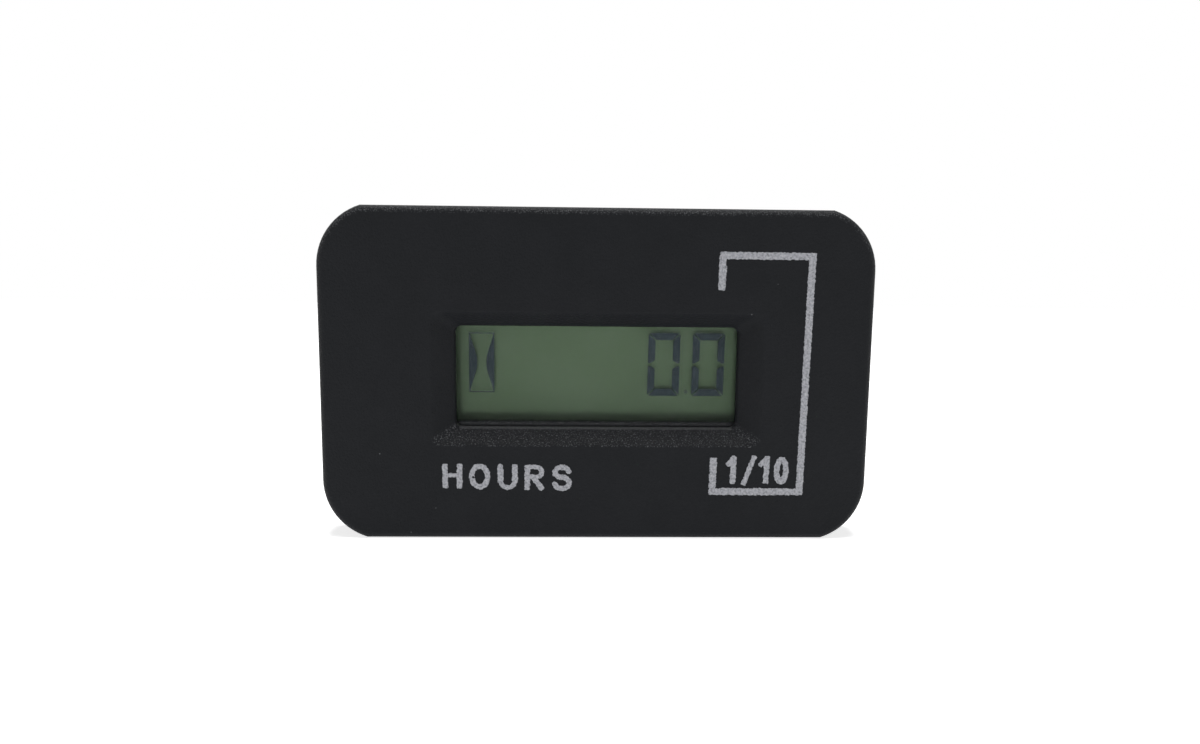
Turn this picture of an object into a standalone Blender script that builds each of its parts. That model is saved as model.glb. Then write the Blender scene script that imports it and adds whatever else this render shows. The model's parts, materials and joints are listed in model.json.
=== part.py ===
"""Rectangular snap-in hour meter with a liquid crystal display.

Metres, +Z up. The face looks along -Y. The origin is the centre of the panel cut-out, on the plane where the
bezel's rear rim meets the panel, so the bezel lies at negative Y and the body at positive Y.
"""

import math
from collections import namedtuple

import bmesh
import bpy
from mathutils import Vector

MM = 0.001

# Gaps between pieces that touch, fit or pass through each other
SEAT_GAP = 0.05 * MM
FIT_GAP = 0.1 * MM
GASKET_GAP = 0.15 * MM

# Bezel
BEZEL_WIDTH = 54.6 * MM
BEZEL_HEIGHT = 33.06 * MM
BEZEL_DEPTH = 5.0 * MM
CORNER_RADIUS = 6.2 * MM
CORNER_OVERSHOOT = 0.3 * MM  # the corner arcs would rise this far past the straight top and bottom edges
FRONT_EDGE_RADIUS = 0.7 * MM
RIM_WALL = 1.6 * MM
GASKET_POCKET_DEPTH = 1.6 * MM

# Panel cut-out, and the collar, tube and snap arms that pass through it
CUTOUT_WIDTH = 36.8 * MM
CUTOUT_HEIGHT = 24.1 * MM
CUTOUT_CLEARANCE = 0.2 * MM
COLLAR_DEPTH = 1.0 * MM
COLLAR_CORNER_RADIUS = 1.2 * MM
COLLAR_ROOT = 1.6 * MM  # how far the collar's foot reaches into the bezel's solid front
TUBE_STEP = 0.05 * MM  # the tube lies this far inside the collar, top and bottom
TUBE_WALL = 1.2 * MM
TUBE_CORNER_RADIUS = 1.5 * MM
BODY_DEPTH = 18.5 * MM
ARM_THICKNESS = 0.8 * MM
ARM_GAP = 0.7 * MM
ARM_WIDTH = 9.0 * MM
ARM_ROOT_LENGTH = 3.0 * MM
ARM_TIP_Y = 1.4 * MM
TOOTH_COUNT = 4
TOOTH_PITCH = 1.2 * MM
TOOTH_HEIGHT = 0.9 * MM

# Liquid crystal cell
GLASS_SIDE_CLEARANCE = 0.3 * MM
GLASS_THICKNESS = 1.1 * MM
CONTACT_LEDGE = 2.2 * MM
POLARIZER_INSET = 0.3 * MM
FRONT_POLARIZER_THICKNESS = 0.2 * MM
REAR_POLARIZER_THICKNESS = 0.25 * MM

# Window over the cell, and the sloped recess round it
WINDOW_SIDE_COVER = 1.1 * MM  # the window's frame covers this much of the glass at each side
WINDOW_END_COVER = 0.86 * MM  # and this much of the polarizers, above and below
WINDOW_CENTRE_Z = -0.28 * MM
WINDOW_CORNER_RADIUS = 0.65 * MM
WINDOW_EDGE_RADIUS = 0.22 * MM
WINDOW_WALL_DEPTH = 0.75 * MM
RECESS_DEPTH = 1.5 * MM
RECESS_SIDE_FLARE = 2.28 * MM
RECESS_TOP_FLARE = 1.52 * MM
RECESS_CORNER_RADIUS = 1.0 * MM
RECESS_LIP_DEPTH = 0.07 * MM  # the last of the slope under the face, at half its steepness

# Lens and its seal
LENS_MARGIN = 1.2 * MM
LENS_SIDE_MARGIN = 1.0 * MM
LENS_THICKNESS = 0.8 * MM
LENS_CORNER_RADIUS = 0.8 * MM
SEAL_THICKNESS = 0.25 * MM
SEAL_SETBACK = 0.3 * MM

# Display holder and contact strips
HOLDER_THICKNESS = 2.6 * MM
HOLDER_WALL = 2.0 * MM
HOLDER_WALL_ROOT = 1.5 * MM
STRIP_END_DISTANCE = 1.2 * MM
STRIP_WIDTH = 1.8 * MM
POST_DIAMETER = 1.2 * MM
POST_HEAD_DIAMETER = 1.9 * MM
POST_HEAD_HEIGHT = 0.55 * MM
POST_X = 11.0 * MM
POST_WEB = 0.15 * MM  # material left between a post and the strip's slot

# Board
BOARD_THICKNESS = 1.6 * MM
BOARD_CLEARANCE = 0.3 * MM

# Rear cover
COVER_THICKNESS = 1.5 * MM
COVER_REBATE = 0.5 * MM
PAD_MARGIN = 1.3 * MM
PAD_END_MARGIN = 1.6 * MM
PAD_RISE = 0.8 * MM
PILLAR_DIAMETER = 2.4 * MM
PILLAR_WALL_GAP = 0.6 * MM
HOOK_X = 8.0 * MM
HOOK_WIDTH = 5.0 * MM
HOOK_THICKNESS = 0.9 * MM
HOOK_REACH = 4.6 * MM
HOOK_NOSE_RISE = 0.75 * MM
HOOK_NOSE_LENGTH = 1.3 * MM

# Packages on the board
CONTROLLER_SIDE = 7.0 * MM
CONTROLLER_THICKNESS = 1.4 * MM
CONTROLLER_LEG_COUNT = 6  # on each side that has legs
CONTROLLER_LEG_PITCH = 1.0 * MM
CONTROLLER_LEG_WIDTH = 0.4 * MM
MEMORY_WIDTH = 4.9 * MM
MEMORY_HEIGHT = 3.9 * MM
MEMORY_THICKNESS = 1.5 * MM
MEMORY_LEG_COUNT = 4
MEMORY_LEG_PITCH = 1.27 * MM
MEMORY_LEG_WIDTH = 0.42 * MM
SIGNAL_LEG_REACH = 1.0 * MM
BRIDGE_WIDTH = 4.7 * MM
BRIDGE_HEIGHT = 3.8 * MM
BRIDGE_THICKNESS = 2.4 * MM
BRIDGE_LEG_COUNT = 2
BRIDGE_LEG_PITCH = 2.54 * MM
BRIDGE_LEG_WIDTH = 0.7 * MM
BRIDGE_LEG_REACH = 1.2 * MM
SURGE_WIDTH = 4.3 * MM
SURGE_HEIGHT = 3.6 * MM
SURGE_THICKNESS = 2.2 * MM
SURGE_LEG_COUNT = 1
SURGE_LEG_PITCH = 0.0
SURGE_LEG_WIDTH = 2.0 * MM
SURGE_LEG_REACH = 0.7 * MM
LEG_METAL = 0.15 * MM
LEG_SHOULDER_SHARE = 0.35  # how much of a leg's reach lies above the board
PACKAGE_STANDOFF = 0.1 * MM

# Chip resistors and capacitors
CHIP_COUNT = 4
CHIP_LENGTH = 2.0 * MM
CHIP_WIDTH = 1.25 * MM
CHIP_RESISTOR_HEIGHT = 0.5 * MM
CHIP_CAPACITOR_HEIGHT = 0.85 * MM
CHIP_CAP_LENGTH = 0.4 * MM
CHIP_CAP_RISE = 0.04 * MM

# Clock crystal
CRYSTAL_DIAMETER = 2.0 * MM
CRYSTAL_LENGTH = 6.0 * MM
CRYSTAL_EDGE = 0.2 * MM
CRYSTAL_LEAD = 0.3 * MM
CRYSTAL_LEAD_SPACING = 0.7 * MM
CRYSTAL_LEAD_LENGTH = 0.9 * MM

# Dropping resistors, with leads bent into the board
RESISTOR_DIAMETER = 2.3 * MM
RESISTOR_WAIST = 1.9 * MM
RESISTOR_LENGTH = 6.3 * MM
RESISTOR_BULB = 1.26 * MM
RESISTOR_EDGE = 0.35 * MM
RESISTOR_LEAD_DIAMETER = 0.6 * MM
RESISTOR_LEAD_SPAN = 9.2 * MM
RESISTOR_WALL_GAP = 0.65 * MM
LEAD_BEND = 0.7 * MM

# Blade terminals
BLADE_WIDTH = 6.35 * MM
BLADE_THICKNESS = 0.8 * MM
BLADE_LENGTH = 8.0 * MM
BLADE_TIP_CHAMFER = 1.1 * MM
BLADE_HOLE_DIAMETER = 1.65 * MM
BLADE_HOLE_FROM_TIP = 4.0 * MM
BLADE_RESISTOR_GAP = 0.65 * MM
SHOULDER_STEP = 1.0 * MM
SHOULDER_LENGTH = 1.2 * MM
LEG_WIDTH = 1.5 * MM
SOLDER_SETBACK = 0.2 * MM  # legs, leads and tabs end this far inside the board's front face

# Coin cell and its tabs
CELL_DIAMETER = 16.0 * MM
CELL_THICKNESS = 3.2 * MM
CELL_CAP_INSET = 1.1 * MM
CELL_STEP = 0.45 * MM
CELL_PART_GAP = 0.7 * MM  # between the cell and the tallest package under it
TAB_THICKNESS = 0.15 * MM
TAB_WIDTH = 3.0 * MM
TAB_REACH = 5.0 * MM  # how far a tab lies on the cell, in from its rim
TAB_RIM_GAP = 0.75 * MM

# Smoothing capacitor, beside the cell
CAPACITOR_DIAMETER = 4.0 * MM
CAPACITOR_HEIGHT = 5.4 * MM
CAPACITOR_BASE = 4.2 * MM
CAPACITOR_BASE_HEIGHT = 0.9 * MM
CAPACITOR_NECK_INSET = 0.2 * MM
CAPACITOR_CELL_GAP = 0.62 * MM
CAPACITOR_BEARING = math.radians(147)  # seen from the cell's axis, from +X towards +Z

# Places on the board, as X and Z
CONTROLLER_AT = (0.0, 1.8 * MM)
MEMORY_AT = (0.0, -6.3 * MM)
BRIDGE_AT = (6.5 * MM, -6.1 * MM)
SURGE_AT = (8.3 * MM, 5.6 * MM)
CRYSTAL_AT = (-7.4 * MM, -5.7 * MM)
CHIP_ROW_Z = 8.8 * MM
CHIP_ROW_PITCH = 3.2 * MM
CHIP_COLUMN_X = 6.4 * MM
CHIP_COLUMN_PITCH = 3.0 * MM

# Facets of round shapes
CORNER_STEPS = 6
BEZEL_CORNER_STEPS = 14
FRONT_EDGE_STEPS = 6
WINDOW_EDGE_STEPS = 4
LEAD_BEND_STEPS = 3
ROUND_SIDES = 32
SMALL_SIDES = 12
WIRE_SIDES = 8
SMOOTH_ANGLE = math.radians(35)

# Packages, from the sizes above
Package = namedtuple("Package", "width height thickness legs pitch leg_width leg_reach")
CONTROLLER = Package(
    CONTROLLER_SIDE,
    CONTROLLER_SIDE,
    CONTROLLER_THICKNESS,
    CONTROLLER_LEG_COUNT,
    CONTROLLER_LEG_PITCH,
    CONTROLLER_LEG_WIDTH,
    SIGNAL_LEG_REACH,
)
MEMORY = Package(
    MEMORY_WIDTH,
    MEMORY_HEIGHT,
    MEMORY_THICKNESS,
    MEMORY_LEG_COUNT,
    MEMORY_LEG_PITCH,
    MEMORY_LEG_WIDTH,
    SIGNAL_LEG_REACH,
)
BRIDGE = Package(
    BRIDGE_WIDTH,
    BRIDGE_HEIGHT,
    BRIDGE_THICKNESS,
    BRIDGE_LEG_COUNT,
    BRIDGE_LEG_PITCH,
    BRIDGE_LEG_WIDTH,
    BRIDGE_LEG_REACH,
)
SURGE = Package(
    SURGE_WIDTH,
    SURGE_HEIGHT,
    SURGE_THICKNESS,
    SURGE_LEG_COUNT,
    SURGE_LEG_PITCH,
    SURGE_LEG_WIDTH,
    SURGE_LEG_REACH,
)

# Cross-sections that follow from the sizes above
COLLAR_WIDTH = CUTOUT_WIDTH - 2 * CUTOUT_CLEARANCE
COLLAR_HEIGHT = CUTOUT_HEIGHT - 2 * CUTOUT_CLEARANCE
ARM_OUTER_X = COLLAR_WIDTH / 2
ARM_INNER_X = ARM_OUTER_X - ARM_THICKNESS
TUBE_WIDTH = 2 * (ARM_INNER_X - ARM_GAP)
TUBE_HEIGHT = COLLAR_HEIGHT - 2 * TUBE_STEP
INNER_WIDTH = TUBE_WIDTH - 2 * TUBE_WALL
INNER_HEIGHT = TUBE_HEIGHT - 2 * TUBE_WALL
INNER_CORNER_RADIUS = TUBE_CORNER_RADIUS - TUBE_WALL
REBATE_WIDTH = INNER_WIDTH + 2 * COVER_REBATE
REBATE_HEIGHT = INNER_HEIGHT + 2 * COVER_REBATE
REBATE_CORNER_RADIUS = INNER_CORNER_RADIUS + COVER_REBATE
GLASS_WIDTH = INNER_WIDTH - 2 * GLASS_SIDE_CLEARANCE
GLASS_HEIGHT = INNER_HEIGHT - 2 * (HOLDER_WALL + FIT_GAP)
REAR_GLASS_HEIGHT = GLASS_HEIGHT - 2 * CONTACT_LEDGE
FILM_WIDTH = GLASS_WIDTH - 2 * POLARIZER_INSET
FILM_HEIGHT = REAR_GLASS_HEIGHT - 2 * POLARIZER_INSET
WINDOW_WIDTH = GLASS_WIDTH - 2 * WINDOW_SIDE_COVER
WINDOW_HEIGHT = FILM_HEIGHT - 2 * WINDOW_END_COVER
WINDOW_CENTRE = (0.0, WINDOW_CENTRE_Z)
LENS_WIDTH = WINDOW_WIDTH + 2 * LENS_SIDE_MARGIN
LENS_HEIGHT = WINDOW_HEIGHT + 2 * LENS_MARGIN
BOARD_WIDTH = INNER_WIDTH - 2 * BOARD_CLEARANCE
BOARD_HEIGHT = INNER_HEIGHT - 2 * BOARD_CLEARANCE
STRIP_LENGTH = GLASS_WIDTH - 2 * STRIP_END_DISTANCE
STRIP_Z = (GLASS_HEIGHT - CONTACT_LEDGE) / 2
POST_Z = STRIP_Z + STRIP_WIDTH / 2 + FIT_GAP + POST_WEB + POST_DIAMETER / 2
POSTS = [(x, z) for x in (-POST_X, POST_X) for z in (-POST_Z, POST_Z)]
PILLAR_X = (INNER_WIDTH - PILLAR_DIAMETER) / 2 - PILLAR_WALL_GAP
PILLAR_Z = (INNER_HEIGHT - PILLAR_DIAMETER) / 2 - PILLAR_WALL_GAP
PILLARS = [(x, z) for x in (-PILLAR_X, PILLAR_X) for z in (-PILLAR_Z, PILLAR_Z)]
RESISTOR_X = (INNER_WIDTH - RESISTOR_DIAMETER) / 2 - RESISTOR_WALL_GAP
BLADE_X = RESISTOR_X - RESISTOR_DIAMETER / 2 - BLADE_RESISTOR_GAP - BLADE_THICKNESS / 2
TAB_X = CELL_DIAMETER / 2 + TAB_RIM_GAP
CAPACITOR_DISTANCE = (CELL_DIAMETER + CAPACITOR_DIAMETER) / 2 + CAPACITOR_CELL_GAP
CAPACITOR_AT = (
    CAPACITOR_DISTANCE * math.cos(CAPACITOR_BEARING),
    CAPACITOR_DISTANCE * math.sin(CAPACITOR_BEARING),
)

# Places along Y that follow from the sizes above, front to back
FACE_Y = -BEZEL_DEPTH
WINDOW_EDGE_Y = FACE_Y + RECESS_DEPTH
LENS_SEAT_Y = WINDOW_EDGE_Y + WINDOW_WALL_DEPTH
SEAL_Y = LENS_SEAT_Y + SEAT_GAP
LENS_Y = SEAL_Y + SEAL_THICKNESS + SEAT_GAP
LENS_REAR_Y = LENS_Y + LENS_THICKNESS
FRONT_POLARIZER_Y = LENS_REAR_Y + SEAT_GAP
FRONT_GLASS_Y = FRONT_POLARIZER_Y + FRONT_POLARIZER_THICKNESS + SEAT_GAP
REAR_GLASS_Y = FRONT_GLASS_Y + GLASS_THICKNESS + SEAT_GAP
REAR_POLARIZER_Y = REAR_GLASS_Y + GLASS_THICKNESS + SEAT_GAP
HOLDER_Y = REAR_POLARIZER_Y + REAR_POLARIZER_THICKNESS + SEAT_GAP
HOLDER_REAR_Y = HOLDER_Y + HOLDER_THICKNESS
BOARD_Y = HOLDER_REAR_Y + SEAT_GAP
BOARD_REAR_Y = BOARD_Y + BOARD_THICKNESS
PART_SEAT_Y = BOARD_REAR_Y + SEAT_GAP
SOLDER_END_Y = BOARD_Y + SOLDER_SETBACK
CELL_Y = BOARD_REAR_Y + PACKAGE_STANDOFF + BRIDGE.thickness + CELL_PART_GAP
CELL_REAR_Y = CELL_Y + CELL_THICKNESS
COVER_Y = BODY_DEPTH - COVER_THICKNESS
COVER_MIDDLE_Y = COVER_Y + COVER_THICKNESS / 2
BLADE_TIP_Y = BODY_DEPTH + BLADE_LENGTH

# Colour, roughness, metallic value and opacity of each material
MATERIALS = {
    "black_abs": ((0.018, 0.019, 0.020, 1.0), 0.55, 0.0, 1.0),
    "foam_rubber": ((0.012, 0.012, 0.012, 1.0), 0.9, 0.0, 1.0),
    "seal_tape": ((0.010, 0.010, 0.010, 1.0), 0.8, 0.0, 1.0),
    "clear_polycarbonate": ((0.90, 0.95, 0.92, 1.0), 0.05, 0.0, 0.2),
    "polarizer_film": ((0.30, 0.38, 0.30, 1.0), 0.3, 0.0, 0.4),
    "display_glass": ((0.80, 0.90, 0.85, 1.0), 0.03, 0.0, 0.25),
    "reflector_film": ((0.08, 0.12, 0.07, 1.0), 0.45, 0.0, 1.0),
    "black_nylon": ((0.018, 0.018, 0.019, 1.0), 0.5, 0.0, 1.0),
    "contact_elastomer": ((0.35, 0.20, 0.18, 1.0), 0.7, 0.0, 1.0),
    "board_laminate": ((0.02, 0.12, 0.05, 1.0), 0.4, 0.0, 1.0),
    "chip_epoxy": ((0.015, 0.015, 0.016, 1.0), 0.45, 0.0, 1.0),
    "bright_can": ((0.60, 0.60, 0.60, 1.0), 0.3, 1.0, 1.0),
    "resistor_coat": ((0.05, 0.20, 0.38, 1.0), 0.4, 0.0, 1.0),
    "ceramic_chip": ((0.40, 0.28, 0.18, 1.0), 0.5, 0.0, 1.0),
    "cell_steel": ((0.58, 0.58, 0.57, 1.0), 0.28, 1.0, 1.0),
    "tinned_brass": ((0.62, 0.60, 0.54, 1.0), 0.3, 1.0, 1.0),
}


def clear_scene():
    for obj in list(bpy.data.objects):
        bpy.data.objects.remove(obj, do_unlink=True)


def material(name):
    """The named material, made from its row in MATERIALS the first time it is asked for."""
    found = bpy.data.materials.get(name)
    if found:
        return found
    colour, roughness, metallic, alpha = MATERIALS[name]
    made = bpy.data.materials.new(name)
    made.use_nodes = True
    shader = made.node_tree.nodes["Principled BSDF"]
    shader.inputs["Base Color"].default_value = colour
    shader.inputs["Roughness"].default_value = roughness
    shader.inputs["Metallic"].default_value = metallic
    shader.inputs["Alpha"].default_value = alpha
    return made


def object_from(bm, name, material_name=None):
    """Puts a finished bmesh into the scene as an object. One with no material is a helper for a Boolean."""
    bmesh.ops.recalc_face_normals(bm, faces=bm.faces[:])
    mesh = bpy.data.meshes.new(name)
    bm.to_mesh(mesh)
    bm.free()
    mesh.shade_smooth()
    mesh.set_sharp_from_angle(angle=SMOOTH_ANGLE)
    obj = bpy.data.objects.new(name, mesh)
    bpy.context.scene.collection.objects.link(obj)
    if material_name:
        mesh.materials.append(material(material_name))
    else:
        obj.hide_render = True
        obj.display_type = "WIRE"
    return obj


def combine(target, helper, operation):
    modifier = target.modifiers.new(helper.name, "BOOLEAN")
    modifier.operation = operation
    modifier.solver = "EXACT"
    modifier.object = helper


def cut(target, helper):
    combine(target, helper, "DIFFERENCE")


def fuse(target, helper):
    combine(target, helper, "UNION")


def around(value, width):
    """The span of this width with the value in its middle."""
    return value - width / 2, value + width / 2


def arc(centre, radius, start, end, steps):
    """Points of an arc, ends included, with angles in radians."""
    angles = [start + (end - start) * i / steps for i in range(steps + 1)]
    return [(centre[0] + radius * math.cos(a), centre[1] + radius * math.sin(a)) for a in angles]


def circle(radius, centre, sides):
    """A circle's outline, turned half a step so that flats face both ways."""
    half_step = math.pi / sides
    return arc(centre, radius, half_step, 2 * math.pi + half_step, sides)[:-1]


def rectangle(width, height, radius=0.0, centre=(0.0, 0.0)):
    """A rectangle's outline, with round corners if it has a radius."""
    half_x = width / 2 - radius
    half_z = height / 2 - radius
    points = []
    for quarter, (sx, sz) in enumerate(((1, 1), (-1, 1), (-1, -1), (1, -1))):
        corner = (centre[0] + sx * half_x, centre[1] + sz * half_z)
        if radius:
            turn = quarter * math.pi / 2
            points += arc(corner, radius, turn, turn + math.pi / 2, CORNER_STEPS)
        else:
            points.append(corner)
    return points


def bezel_outline(inset=0.0):
    """The bezel's outline. Corner arcs leave the sides smoothly and meet the top or bottom at a crease."""
    half_width = BEZEL_WIDTH / 2 - inset
    half_height = BEZEL_HEIGHT / 2 - inset
    radius = CORNER_RADIUS - inset
    centre_x = half_width - radius
    centre_z = half_height + CORNER_OVERSHOOT - radius
    crease = math.asin((half_height - centre_z) / radius)
    corner = arc((centre_x, centre_z), radius, 0.0, crease, BEZEL_CORNER_STEPS)
    top = corner + [(-x, z) for x, z in reversed(corner)]
    return top + [(-x, -z) for x, z in top]


def skin(bm, loops):
    """Joins loops of as many points each, one after another, and caps both ends."""
    rings = [[bm.verts.new(point) for point in loop] for loop in loops]
    for near, far in zip(rings, rings[1:]):
        for i in range(len(near)):
            j = (i + 1) % len(near)
            bm.faces.new((near[i], near[j], far[j], far[i]))
    bm.faces.new(rings[0])
    bm.faces.new(rings[-1])


def loft(name, sections, material_name=None):
    """A solid through outlines of (x, z) points, given as (y, outline)."""
    bm = bmesh.new()
    skin(bm, [[(x, y, z) for x, z in outline] for y, outline in sections])
    return object_from(bm, name, material_name)


def prism(name, outline, y0, y1, material_name=None):
    return loft(name, [(y0, outline), (y1, outline)], material_name)


def prism_along_x(name, outline, span, material_name=None):
    """An outline of (y, z) points, extruded over a span of X."""
    bm = bmesh.new()
    skin(bm, [[(x, y, z) for y, z in outline] for x in span])
    return object_from(bm, name, material_name)


def prism_along_z(name, outline, span, material_name=None):
    """An outline of (x, y) points, extruded over a span of Z."""
    bm = bmesh.new()
    skin(bm, [[(x, y, z) for x, y in outline] for z in span])
    return object_from(bm, name, material_name)


def boxes(name, spans, material_name=None):
    """Separate boxes in one mesh, each given as its X, Y and Z spans."""
    bm = bmesh.new()
    for (x0, x1), y_span, (z0, z1) in spans:
        skin(bm, [[(x0, y, z0), (x1, y, z0), (x1, y, z1), (x0, y, z1)] for y in y_span])
    return object_from(bm, name, material_name)


def rods(name, places, diameter, y0, y1):
    """Separate round rods along Y in one helper mesh, at the given (x, z) places."""
    bm = bmesh.new()
    for place in places:
        outline = circle(diameter / 2, place, SMALL_SIDES)
        skin(bm, [[(x, y, z) for x, z in outline] for y in (y0, y1)])
    return object_from(bm, name)


def turned(name, profile, centre, axis, sides, material_name=None):
    """A solid of revolution, from (radius, distance along the axis) pairs, with flat ends."""
    along = Vector(axis)
    across = Vector((0, 0, 1)) if not along.z else Vector((1, 0, 0))
    third = along.cross(across)
    loops = []
    for radius, distance in profile:
        middle = Vector(centre) + along * distance
        loops.append([middle + across * a + third * b for a, b in circle(radius, (0.0, 0.0), sides)])
    bm = bmesh.new()
    skin(bm, loops)
    return object_from(bm, name, material_name)


def bent_wire(name, x, path, diameter):
    """A round wire that follows (y, z) points in the plane of one X."""
    loops = []
    for i, (y, z) in enumerate(path):
        before = Vector(path[max(i - 1, 0)])
        after = Vector(path[min(i + 1, len(path) - 1)])
        run = (after - before).normalized()
        side = Vector((0, -run.y, run.x))
        middle = Vector((x, y, z))
        ring = circle(diameter / 2, (0.0, 0.0), WIRE_SIDES)
        loops.append([middle + Vector((a, 0, 0)) + side * b for a, b in ring])
    bm = bmesh.new()
    skin(bm, loops)
    return object_from(bm, name)


def bezel_block():
    """The bezel as a solid block with a rounded front edge."""
    sections = []
    for rise, inset in arc((0.0, 0.0), FRONT_EDGE_RADIUS, 0.0, math.pi / 2, FRONT_EDGE_STEPS):
        sections.append((FACE_Y + FRONT_EDGE_RADIUS - rise, bezel_outline(FRONT_EDGE_RADIUS - inset)))
    sections.append((0.0, bezel_outline()))
    return loft("housing", sections, "black_abs")


def recess_section(share):
    """The recess's outline where the slope has opened by this share of its flare."""
    radius = WINDOW_CORNER_RADIUS + share * (RECESS_CORNER_RADIUS - WINDOW_CORNER_RADIUS)
    width = WINDOW_WIDTH + 2 * share * RECESS_SIDE_FLARE
    return rectangle(width, WINDOW_HEIGHT + 2 * share * RECESS_TOP_FLARE, radius, WINDOW_CENTRE)


def window_cutter():
    """The recess with its softened lip, the rounded window edge and the straight wall behind it."""
    lip_share = 1 - RECESS_LIP_DEPTH / RECESS_DEPTH
    lip_growth = 2 * (1 - lip_share)  # half the steepness opens the slope twice as fast
    sections = [
        (FACE_Y - RECESS_LIP_DEPTH, recess_section(lip_share + 2 * lip_growth)),
        (FACE_Y + RECESS_LIP_DEPTH, recess_section(lip_share)),
    ]
    edge_share = WINDOW_EDGE_RADIUS / RECESS_DEPTH
    for i in range(WINDOW_EDGE_STEPS + 1):
        t = i / WINDOW_EDGE_STEPS
        y = WINDOW_EDGE_Y - WINDOW_EDGE_RADIUS * (1 - t) ** 2 + WINDOW_EDGE_RADIUS * t**2
        sections.append((y, recess_section(edge_share * (1 - t) ** 2)))
    sections.append((LENS_SEAT_Y + LENS_THICKNESS, recess_section(0.0)))
    return loft("window_cutter", sections)


def snap_arm(name, side):
    """An arm beside the tube, rooted at its rear, with teeth whose steep faces look at the panel."""
    root_x = TUBE_WIDTH / 2 - TUBE_WALL / 2
    root_y = BODY_DEPTH - ARM_ROOT_LENGTH
    outline = [(ARM_INNER_X, ARM_TIP_Y)]
    for tooth in range(TOOTH_COUNT):
        y = ARM_TIP_Y + tooth * TOOTH_PITCH
        outline += [(ARM_OUTER_X + TOOTH_HEIGHT, y), (ARM_OUTER_X, y + TOOTH_PITCH)]
    outline += [(ARM_OUTER_X, BODY_DEPTH), (root_x, BODY_DEPTH), (root_x, root_y), (ARM_INNER_X, root_y)]
    return prism_along_z(name, [(side * x, y) for x, y in outline], around(0.0, ARM_WIDTH))


def hook_slots():
    """Openings in the tube's top and bottom walls that the cover's hooks snap into."""
    nose_y = COVER_Y - HOOK_REACH
    y_span = (nose_y - FIT_GAP, nose_y + HOOK_NOSE_LENGTH + FIT_GAP)
    spans = []
    for side in (-1, 1):
        z_span = (side * (INNER_HEIGHT - TUBE_WALL) / 2, side * (TUBE_HEIGHT / 2 + TUBE_WALL))
        for x in (-HOOK_X, HOOK_X):
            spans.append((around(x, HOOK_WIDTH + 2 * FIT_GAP), y_span, z_span))
    return boxes("hook_slot_cutter", spans)


def make_housing():
    housing = bezel_block()
    pocket_y = -GASKET_POCKET_DEPTH
    cut(housing, prism("gasket_pocket_cutter", bezel_outline(RIM_WALL), pocket_y, COLLAR_DEPTH))
    collar = rectangle(COLLAR_WIDTH, COLLAR_HEIGHT, COLLAR_CORNER_RADIUS)
    fuse(housing, prism("collar", collar, pocket_y - COLLAR_ROOT, COLLAR_DEPTH))
    tube = rectangle(TUBE_WIDTH, TUBE_HEIGHT, TUBE_CORNER_RADIUS)
    fuse(housing, prism("tube", tube, pocket_y, BODY_DEPTH))
    fuse(housing, snap_arm("snap_arm_left", -1))
    fuse(housing, snap_arm("snap_arm_right", 1))
    past_rear = BODY_DEPTH + TUBE_WALL
    cavity = rectangle(INNER_WIDTH, INNER_HEIGHT, INNER_CORNER_RADIUS)
    cut(housing, prism("cavity_cutter", cavity, LENS_REAR_Y, past_rear))
    rebate = rectangle(REBATE_WIDTH, REBATE_HEIGHT, REBATE_CORNER_RADIUS)
    cut(housing, prism("rebate_cutter", rebate, COVER_Y - SEAT_GAP, past_rear))
    lens_radius = LENS_CORNER_RADIUS + FIT_GAP
    pocket = rectangle(LENS_WIDTH + 2 * FIT_GAP, LENS_HEIGHT + 2 * FIT_GAP, lens_radius, WINDOW_CENTRE)
    cut(housing, prism("lens_pocket_cutter", pocket, LENS_SEAT_Y, LENS_REAR_Y + LENS_THICKNESS))
    cut(housing, window_cutter())
    cut(housing, hook_slots())


def make_panel_gasket():
    outer = bezel_outline(RIM_WALL + GASKET_GAP)
    gasket = prism("panel_gasket", outer, -GASKET_POCKET_DEPTH + SEAT_GAP, -SEAT_GAP, "foam_rubber")
    width = COLLAR_WIDTH + 2 * GASKET_GAP
    hole = rectangle(width, COLLAR_HEIGHT + 2 * GASKET_GAP, COLLAR_CORNER_RADIUS + GASKET_GAP)
    cut(gasket, prism("gasket_hole_cutter", hole, -BEZEL_DEPTH, COLLAR_DEPTH))


def make_window_seal():
    outer = rectangle(LENS_WIDTH, LENS_HEIGHT, LENS_CORNER_RADIUS, WINDOW_CENTRE)
    seal = prism("window_seal", outer, SEAL_Y, SEAL_Y + SEAL_THICKNESS, "seal_tape")
    width = WINDOW_WIDTH + 2 * SEAL_SETBACK
    hole = rectangle(width, WINDOW_HEIGHT + 2 * SEAL_SETBACK, WINDOW_CORNER_RADIUS, WINDOW_CENTRE)
    cut(seal, prism("seal_hole_cutter", hole, WINDOW_EDGE_Y, LENS_REAR_Y))


def make_lens():
    outline = rectangle(LENS_WIDTH, LENS_HEIGHT, LENS_CORNER_RADIUS, WINDOW_CENTRE)
    prism("window_lens", outline, LENS_Y, LENS_REAR_Y, "clear_polycarbonate")


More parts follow.
